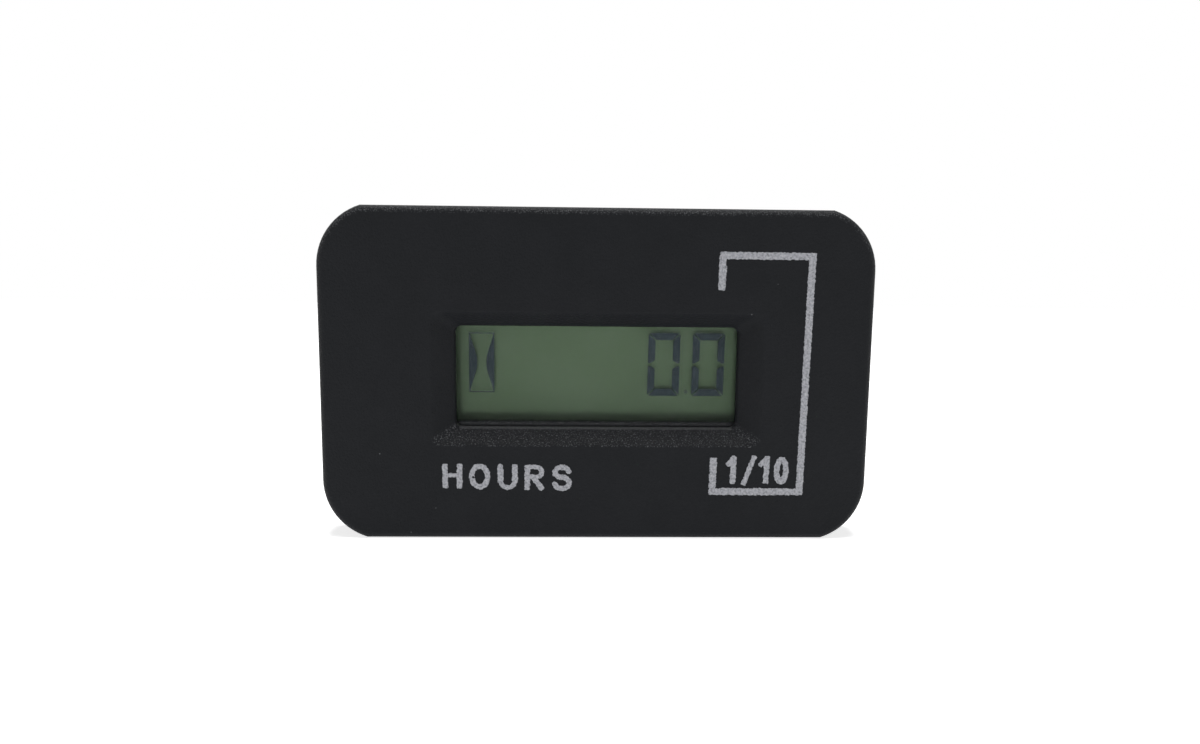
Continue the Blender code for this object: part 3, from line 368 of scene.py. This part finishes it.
def lens_material():
    """Clear and polished, with a grey, nearly opaque band of painted shade along its lower edge."""
    n = Nodes("window_clear")
    # Painted shade: speckled grey tones of the band along the lower edge, where the window's foot
    # lies in shade
    painted_speckle = n.noise(0.16 * MM, 2.0, 0.7)
    n.colour(n.tones(painted_speckle, (0.022, 0.023, 0.025), (0.044, 0.046, 0.049)))
    n.roughness(n.noise(1.5 * MM), 0.03, 0.06)
    drift = n.math("MULTIPLY", n.math("SUBTRACT", n.noise(0.35 * MM, 3.0, 0.7), 0.5), 0.25 * MM)
    height = n.math("ADD", n.axis("Z"), drift)
    alpha = n.remap(height, *LENS_SHADE_BAND, LENS_SHADE_ALPHA, LENS_ALPHA, smooth=True)
    n.link(alpha, n.shader.inputs["Alpha"])
    n.set(Specular_IOR_Level=0.1, IOR=1.49)
    return n.material


def film_material():
    """Grey film, nearly clear."""
    n = Nodes("polarizer")
    n.colour(n.tones(n.noise(2 * MM), (0.04, 0.045, 0.045), (0.05, 0.055, 0.055)))
    n.roughness(n.noise(0.4 * MM), 0.35, 0.45)
    n.set(Alpha=0.06, Specular_IOR_Level=0.2, IOR=1.5)
    return n.material


def glass_material():
    """Display glass, all but clear."""
    n = Nodes("cell_glass")
    n.colour(n.tones(n.noise(4 * MM), (0.05, 0.07, 0.06), (0.06, 0.08, 0.07)))
    n.roughness(n.noise(1 * MM), 0.05, 0.08)
    n.set(Alpha=0.01, Specular_IOR_Level=0.3, IOR=1.5)
    return n.material


def reflector_material():
    """Matt film of pale grey-green, finely grained."""
    n = Nodes("reflector")
    n.colour(n.tones(n.noise(5 * MM), (0.135, 0.204, 0.120), (0.148, 0.218, 0.135)))
    n.roughness(n.noise(0.12 * MM), 0.8, 0.9)
    n.bump((n.noise(0.08 * MM), 0.002 * MM, 0.2))
    n.set(Specular_IOR_Level=0.1)
    return n.material


def figure_material(name, alpha):
    """Slate blue, through which the film behind shows a little."""
    n = Nodes(name)
    n.colour(n.tones(n.noise(0.5 * MM), (0.048, 0.068, 0.082), (0.055, 0.076, 0.092)))
    n.roughness(n.noise(0.5 * MM), 0.5, 0.6)
    n.set(Alpha=alpha, Specular_IOR_Level=0.0)
    return n.material


def ink_material():
    """Light grey pad-printed ink, slightly mottled by the grain under it."""
    n = Nodes("print_ink")
    patches = n.noise(0.24 * MM, 4.0, 0.7)
    thin, usual, full = srgb(72, 73, 78), srgb(135, 136, 141), srgb(168, 169, 173)
    n.colour(n.ramp(patches, ((0.28, thin), (0.48, usual), (0.72, full))))
    n.roughness(patches, 0.55, 0.7)
    n.bump((n.noise(0.17 * MM, 3.0, 0.6), 0.02 * MM, 0.5))
    n.set(Specular_IOR_Level=0.25)
    return n.material


def board_material():
    """Green solder resist with copper tracks showing through as lighter lines."""
    n = Nodes("solder_resist")
    tracks = n.add("ShaderNodeTexBrick")
    tracks.inputs["Scale"].default_value = 1 / (4 * MM)
    tracks.inputs["Color1"].default_value = (0.010, 0.090, 0.035, 1.0)
    tracks.inputs["Color2"].default_value = (0.012, 0.105, 0.040, 1.0)
    tracks.inputs["Mortar"].default_value = (0.035, 0.180, 0.070, 1.0)
    tracks.inputs["Mortar Size"].default_value = 0.03
    swap = n.add("ShaderNodeMapping")
    swap.inputs["Rotation"].default_value = (math.pi / 2, 0.0, 0.0)
    n.link(n.place, swap.inputs["Vector"])
    n.link(swap.outputs["Vector"], tracks.inputs["Vector"])
    n.colour(tracks.outputs["Color"])
    n.roughness(n.noise(0.6 * MM), 0.3, 0.4)
    n.bump((tracks.outputs["Fac"], 0.03 * MM, -0.4))
    return n.material


def strip_material():
    """Elastomer with conductive layers side by side along its length."""
    n = Nodes("zebra_layers")
    wave = n.add("ShaderNodeTexWave", wave_type="BANDS", bands_direction="X")
    wave.inputs["Scale"].default_value = 1 / (2.0 * MM)
    n.link(n.place, wave.inputs["Vector"])
    n.colour(n.tones(wave.outputs["Fac"], (0.03, 0.03, 0.03), (0.42, 0.22, 0.20), 0.45, 0.55))
    n.roughness(n.noise(0.2 * MM), 0.6, 0.75)
    return n.material


def metal(name, dark, light, size, rough, stretch=EVEN):
    """Bare metal, faintly uneven."""
    bump = (size / 2, 0.01 * MM, 0.10)
    return simple(name, dark, light, size, rough, bump, stretch, Metallic=1.0)


# Dark and light tone, size of the noise, range of the roughness, and bump
SIMPLE = {
    "chip_epoxy": (
        (0.012, 0.012, 0.013), (0.017, 0.017, 0.018),
        0.3 * MM, (0.45, 0.55), (0.08 * MM, 0.01 * MM, 0.5),
    ),
    "foam": (
        (0.010, 0.010, 0.010), (0.017, 0.017, 0.017),
        0.35 * MM, (0.85, 0.95), (0.3 * MM, 0.12 * MM, 0.9),
    ),
    "tape": (
        (0.008, 0.008, 0.008), (0.012, 0.012, 0.012),
        0.4 * MM, (0.75, 0.85),
    ),
    "lacquer": (
        (0.04, 0.17, 0.33), (0.05, 0.21, 0.39),
        0.8 * MM, (0.3, 0.42), (0.3 * MM, 0.02 * MM, 0.3),
    ),
    "ceramic": (
        (0.36, 0.25, 0.16), (0.43, 0.31, 0.20),
        0.3 * MM, (0.45, 0.55), (0.1 * MM, 0.01 * MM, 0.3),
    ),
    "nylon": (
        (0.016, 0.016, 0.017), (0.022, 0.022, 0.023),
        1.5 * MM, (0.45, 0.6), (0.2 * MM, 0.02 * MM, 0.3),
    ),
}
# Dark and light tone, size of the noise, range of the roughness, and stretch of the noise
METALS = {
    "bright_can": (
        (0.52, 0.52, 0.52), (0.62, 0.62, 0.62),
        0.8 * MM, (0.22, 0.34), (1.0, 0.2, 1.0),
    ),
    "cell_steel": (
        (0.50, 0.50, 0.49), (0.60, 0.60, 0.58),
        0.9 * MM, (0.22, 0.32),
    ),
    "tinned_brass": (
        (0.52, 0.50, 0.45), (0.63, 0.61, 0.56),
        1.2 * MM, (0.24, 0.38), (0.3, 1.0, 1.0),
    ),
}


def dress_nodes():
    """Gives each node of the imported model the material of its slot."""
    plain = {name: simple(name, *values) for name, values in SIMPLE.items()}
    metals = {name: metal(name, *values) for name, values in METALS.items()}
    by_slot = {
        "black_abs": black_plastic(),
        "foam_rubber": plain["foam"],
        "seal_tape": plain["tape"],
        "clear_polycarbonate": lens_material(),
        "polarizer_film": film_material(),
        "display_glass": glass_material(),
        "reflector_film": reflector_material(),
        "black_nylon": plain["nylon"],
        "contact_elastomer": strip_material(),
        "board_laminate": board_material(),
        "chip_epoxy": plain["chip_epoxy"],
        "bright_can": metals["bright_can"],
        "resistor_coat": plain["lacquer"],
        "ceramic_chip": plain["ceramic"],
        "cell_steel": metals["cell_steel"],
        "tinned_brass": metals["tinned_brass"],
    }
    for part in frame["record"]["subparts"]:
        node = frame["nodes"][part["node"]]
        node.data.materials.clear()
        node.data.materials.append(by_slot[part["material_slot"]])


# ---- geometry helpers


def finish_piece(bm, name, material):
    """Makes a visible piece of a bmesh, on the part's one body."""
    bmesh.ops.recalc_face_normals(bm, faces=bm.faces[:])
    mesh = bpy.data.meshes.new(name)
    bm.to_mesh(mesh)
    bm.free()
    mesh.materials.append(material)
    piece = bpy.data.objects.new(name, mesh)
    bpy.context.scene.collection.objects.link(piece)
    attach(piece, BODY)


def plates(outlines, y0, y1):
    """Flat plates between two Y places, one for each outline of (x, z) points."""
    bm = bmesh.new()
    for outline in outlines:
        rings = [[bm.verts.new((x, y, z)) for x, z in outline] for y in (y0, y1)]
        for i in range(len(outline)):
            j = (i + 1) % len(outline)
            bm.faces.new((rings[0][i], rings[0][j], rings[1][j], rings[1][i]))
        bm.faces.new(rings[0])
        bm.faces.new(rings[1])
    return bm


def in_metres(path):
    return [(x * MM, z * MM) for x, z in path]


def ellipse(cx, cz, rx, rz, start=0.0, end=360.0, steps=20):
    """Points of an ellipse's arc, ends included, with angles in degrees."""
    angles = [math.radians(start + (end - start) * i / steps) for i in range(steps + 1)]
    return [(cx + rx * math.cos(a), cz + rz * math.sin(a)) for a in angles]


# ---- print


def stroke_distance(x, z, strokes):
    """Distance from a point to the edge of the nearest stroke, negative inside it."""
    best = math.inf
    for path, half, corner in strokes:
        for (ax, az), (bx, bz) in zip(path, path[1:]):
            run_x, run_z = bx - ax, bz - az
            length = math.hypot(run_x, run_z)
            off_x, off_z = x - (ax + bx) / 2, z - (az + bz) / 2
            along = abs(off_x * run_x + off_z * run_z) / length - length / 2 - half + corner
            across = abs(off_x * run_z - off_z * run_x) / length - half + corner
            outside = math.hypot(max(along, 0.0), max(across, 0.0))
            best = min(best, outside + min(max(along, across), 0.0) - corner)
    return best


def ink_value(x, z, strokes, voids):
    """The stroke distance with a ragged edge, and with the ink missing round each void."""
    d = stroke_distance(x, z, strokes)
    if d > INK_REACH:
        return d
    d += noise.noise(Vector((x, EDGE_LAYER, z)) / INK_EDGE_SCALE) * INK_EDGE_NOISE
    d += noise.noise(Vector((x, WAVE_LAYER, z)) / INK_WAVE_SCALE) * INK_EDGE_NOISE
    for void_x, void_z, radius in voids:
        worn = noise.noise(Vector((x, VOID_LAYER, z)) / VOID_SCALE) * VOID_NOISE
        d = max(d, radius + worn - math.hypot(x - void_x, z - void_z))
    return d


def cell_ring(i, j, field, place):
    """One grid cell's part inside the ink, as (key, place, whether the ink's edge cuts there)."""
    corners = ((i, j), (i + 1, j), (i + 1, j + 1), (i, j + 1))
    ring = []
    for here, there in zip(corners, corners[1:] + corners[:1]):
        value_here = field[here[0]][here[1]]
        value_there = field[there[0]][there[1]]
        if value_here < 0:
            ring.append((here, place(*here), False))
        if (value_here < 0) != (value_there < 0):
            share = value_here / (value_here - value_there)
            t = max(CUT_MARGIN, min(1 - CUT_MARGIN, share))
            (ax, az), (bx, bz) = place(*here), place(*there)
            at = (ax + (bx - ax) * t, az + (bz - az) * t)
            ring.append(((min(here, there), max(here, there)), at, True))
    return ring


def split_saddle(ring):
    """Two corner triangles where only the opposite corners of a cell are inside."""
    count = len(ring)
    return [[ring[k - 1], ring[k], ring[(k + 1) % count]] for k in range(count) if not ring[k][2]]


def ink(strokes, voids=()):
    """Ink laid along strokes, as a thin closed plate with a ragged edge."""
    xs = [x for path, half, corner in strokes for x, z in path]
    zs = [z for path, half, corner in strokes for x, z in path]
    margin = max(half for path, half, corner in strokes) + INK_MARGIN
    left = min(xs) - margin
    low = min(zs) - margin
    columns = int((max(xs) + margin - left) / INK_CELL) + 2
    rows = int((max(zs) + margin - low) / INK_CELL) + 2

    def place(i, j):
        return left + i * INK_CELL, low + j * INK_CELL

    field = [[ink_value(*place(i, j), strokes, voids) for j in range(rows)] for i in range(columns)]
    bm = bmesh.new()
    made = {}

    def vertex(key, at, y):
        if (key, y) not in made:
            made[key, y] = bm.verts.new((at[0], y, at[1]))
        return made[key, y]

    front = FACE_Y - INK_THICKNESS
    back = FACE_Y + INK_SINK
    for i in range(columns - 1):
        for j in range(rows - 1):
            ring = cell_ring(i, j, field, place)
            loops = [ring] if ring else []
            cuts = sum(cut for key, at, cut in ring)
            if cuts == 4 and len(ring) == 6:
                loops = split_saddle(ring)
            for loop in loops:
                for y in (front, back):
                    bm.faces.new([vertex(key, at, y) for key, at, cut in loop])
                for (key_a, at_a, cut_a), (key_b, at_b, cut_b) in zip(loop, loop[1:] + loop[:1]):
                    if cut_a and cut_b:
                        corners = [vertex(key_a, at_a, front), vertex(key_b, at_b, front)]
                        corners += [vertex(key_b, at_b, back), vertex(key_a, at_a, back)]
                        bm.faces.new(corners)
    return bm


def pen(path, half, corner=None):
    """A stroke along (x, z) points, of this half width, both in millimetres.

    Its ends are round, or have corners of the radius given, in metres.
    """
    return in_metres(path), half * MM, half * MM if corner is None else corner


def hours_strokes():
    """The unit that the meter counts, in plain strokes."""
    middle = -9.96
    letter_h = [
        pen([(-15.06, -9.08), (-15.06, -11.00)], 0.275, INK_CORNER),
        pen([(-13.62, -9.09), (-13.64, -11.04)], 0.275, INK_CORNER),
        pen([(-14.95, middle), (-13.80, middle)], 0.19),
    ]
    letter_o = [pen(ellipse(-11.62, -10.08, 0.785, 1.06, steps=28), 0.26)]
    bowl = ellipse(-8.84, -10.47, 0.72, 0.735, 180, 360, 14)
    letter_u = [
        pen([(-9.56, -9.11), (-9.57, -10.44)], 0.28, INK_CORNER),
        pen([(-8.12, -9.11), (-8.12, -10.44)], 0.285, INK_CORNER),
        pen(bowl, 0.235),
    ]
    head = ellipse(-6.03, -9.60, 0.60, 0.52, 90, -90, 12)
    letter_r = [
        pen([(-6.89, -9.12), (-6.89, -11.22)], 0.27, INK_CORNER),
        pen([(-6.90, -9.08), *head, (-6.90, -10.12)], 0.23),
        pen([(-6.17, -10.30), (-5.50, -11.20)], 0.27, INK_CORNER),
    ]
    upper = ellipse(-3.44, -9.62, 0.69, 0.53, 8, 255, 16)
    lower = ellipse(-3.42, -10.71, 0.72, 0.585, 75, -168, 16)
    letter_s = [pen(upper + lower, 0.26)]
    return letter_h + letter_o + letter_u + letter_r + letter_s


def tenth_strokes():
    """The share of an hour that the last figure counts."""
    return [
        pen([(13.78, -8.16), (13.73, -10.50)], 0.29),
        pen([(13.72, -8.16), (13.30, -8.66)], 0.25, INK_CORNER),
        pen([(15.79, -8.10), (14.86, -10.65)], 0.25, INK_CORNER),
        pen([(17.15, -8.14), (17.07, -10.44)], 0.28, INK_CORNER),
        pen([(17.06, -8.16), (16.56, -8.72)], 0.24, INK_CORNER),
        pen(ellipse(18.63, -9.37, 0.47, 1.14, steps=28), 0.28),
    ]


def bracket_strokes():
    """The line that joins the last figure of the display to the share it counts."""
    upper = [(12.07, 9.02), (12.12, 12.07), (20.89, 12.05)]
    lower = [(20.51, -11.57), (11.68, -11.54), (11.74, -8.40)]
    return [pen(upper + lower, 0.35, INK_CORNER)]


def add_print():
    material = ink_material()
    finish_piece(ink(hours_strokes(), HOURS_VOIDS), "print_hours", material)
    finish_piece(ink(tenth_strokes()), "print_tenth", material)
    finish_piece(ink(bracket_strokes()), "print_bracket", material)


# ---- display figures


def lean(outline):
    """The outline tilted a little to the right, about its middle height."""
    middle = (FIGURE_TOP + FIGURE_LOW) / 2
    return [(x + (z - middle) * FIGURE_LEAN, z) for x, z in outline]


def zero_outlines(left, right):
    """Six segments of a seven-segment figure, with mitred corners and the middle one off."""
    middle = (FIGURE_TOP + FIGURE_LOW) / 2
    side, gap = SEGMENT_WIDTH, SEGMENT_GAP
    outlines = []
    for outer, turn in ((FIGURE_TOP, -1), (FIGURE_LOW, 1)):
        inner = outer + turn * side
        outer_ends = ((left + gap, outer), (right - gap, outer))
        outlines.append([*outer_ends, (right - side - gap, inner), (left + side + gap, inner)])
        stop = middle - turn * SEGMENT_MIDDLE_GAP
        taper = stop - turn * SEGMENT_TAPER
        outer_taper = stop - turn * SEGMENT_OUTER_TAPER
        for edge, way in ((left, side), (right, -side)):
            mitre = ((edge + way, inner + turn * gap), (edge, outer + turn * gap))
            point = (edge + way * SEGMENT_POINT, stop)
            outlines.append([(edge, outer_taper), point, (edge + way, taper), *mitre])
    return [lean(outline) for outline in outlines]


def hourglass_outlines():
    """Two dark sides whose inner edges bulge inwards, and a thin line at the top and bottom."""
    left, right, top, low = HOURGLASS
    line = HOURGLASS_LINE
    outlines = []
    for edge, way in ((left, 1), (right, -1)):
        bulge = []
        for i in range(HOURGLASS_STEPS + 1):
            t = i / HOURGLASS_STEPS
            reach = line + (HOURGLASS_BULGE - line) * math.sin(math.pi * t) ** HOURGLASS_POWER
            bulge.append((edge + way * reach, top + (low - top) * t))
        outlines.append([(edge, top), *bulge, (edge, low)])
    for z in (top, low + line):
        ends = (left + line, right - line)
        outlines.append([(ends[0], z), (ends[1], z), (ends[1], z - line), (ends[0], z - line)])
    return outlines


def add_figures():
    dark = figure_material("figure_dark", FIGURE_ALPHA)
    faint = figure_material("figure_faint", POINT_ALPHA)
    span = (FIGURE_Y, FIGURE_Y + FIGURE_THICKNESS)
    digits = [outline for left, right in FIGURES for outline in zero_outlines(left, right)]
    point = ellipse(*POINT_AT, POINT_RADIUS, POINT_RADIUS, steps=POINT_SIDES)[:-1]
    finish_piece(plates(digits, *span), "display_digits", dark)
    finish_piece(plates([point], *span), "display_point", faint)
    finish_piece(plates(hourglass_outlines(), *span), "display_hourglass", dark)


# ---- studio


def add_camera():
    data = bpy.data.cameras.new("camera")
    data.lens = CAMERA_LENS
    data.sensor_width = SENSOR_WIDTH
    data.sensor_fit = "HORIZONTAL"
    data.clip_start = CLIP_START
    data.clip_end = CLIP_END
    camera = bpy.data.objects.new("camera", data)
    right = CAMERA_RIGHT.normalized()
    back = right.cross(CAMERA_UP).normalized()
    up = back.cross(right)
    turn = Matrix((right, up, back)).transposed().to_4x4()
    camera.matrix_world = Matrix.Translation(CAMERA_AT) @ turn
    bpy.context.scene.collection.objects.link(camera)
    bpy.context.scene.camera = camera


def seen_directly(tree):
    """1 for rays from the camera, off gloss or through glass, and 0 for those that light it."""
    path = tree.nodes.new("ShaderNodeLightPath")
    total = path.outputs["Is Camera Ray"]
    for name in ("Is Glossy Ray", "Is Transmission Ray"):
        node = tree.nodes.new("ShaderNodeMath")
        node.operation = "MAXIMUM"
        tree.links.new(total, node.inputs[0])
        tree.links.new(path.outputs[name], node.inputs[1])
        total = node.outputs[0]
    return total


def add_world():
    """A white backdrop that lights the object far less than it shows."""
    world = bpy.data.worlds.new("studio")
    bpy.context.scene.world = world
    world.use_nodes = True
    tree = world.node_tree
    background = tree.nodes["Background"]
    background.inputs["Color"].default_value = WHITE
    strength = tree.nodes.new("ShaderNodeMapRange")
    strength.inputs[3].default_value = AMBIENT
    strength.inputs[4].default_value = 1.0
    tree.links.new(seen_directly(tree), strength.inputs[0])
    tree.links.new(strength.outputs[0], background.inputs["Strength"])


def add_floor():
    bm = bmesh.new()
    half = FLOOR_SIZE / 2
    corners = ((-half, -half), (half, -half), (half, half), (-half, half))
    bm.faces.new([bm.verts.new((x, y, FLOOR_Z)) for x, y in corners])
    mesh = bpy.data.meshes.new("floor")
    bm.to_mesh(mesh)
    bm.free()
    floor = bpy.data.objects.new("floor", mesh)
    bpy.context.scene.collection.objects.link(floor)
    material = bpy.data.materials.new("floor")
    material.use_nodes = True
    tree = material.node_tree
    shader = tree.nodes["Principled BSDF"]
    shader.inputs["Base Color"].default_value = FLOOR_COLOUR
    shader.inputs["Roughness"].default_value = FLOOR_ROUGHNESS
    shader.inputs["Specular IOR Level"].default_value = 0.0
    shader.inputs["Emission Color"].default_value = WHITE
    glow = tree.nodes.new("ShaderNodeMath")
    glow.operation = "MULTIPLY"
    glow.inputs[1].default_value = FLOOR_GLOW
    tree.links.new(seen_directly(tree), glow.inputs[0])
    tree.links.new(glow.outputs[0], shader.inputs["Emission Strength"])
    mesh.materials.append(material)
    floor.visible_shadow = False


def add_lamp(name, at, power, size, mirrored):
    data = bpy.data.lights.new(name, "AREA")
    data.shape = "SQUARE"
    data.size = size
    data.energy = power
    lamp = bpy.data.objects.new(name, data)
    lamp.visible_glossy = mirrored
    place = Vector(at)
    turn = (-place).to_track_quat("-Z", "Y").to_matrix().to_4x4()
    lamp.matrix_world = Matrix.Translation(place) @ turn
    bpy.context.scene.collection.objects.link(lamp)


scene = bpy.context.scene
scene.view_settings.view_transform = "Standard"
scene.cycles.transparent_max_bounces = TRANSPARENT_BOUNCES
dress_nodes()
add_print()
add_figures()
add_camera()
add_world()
add_floor()
for lamp in LAMPS:
    add_lamp(*lamp)
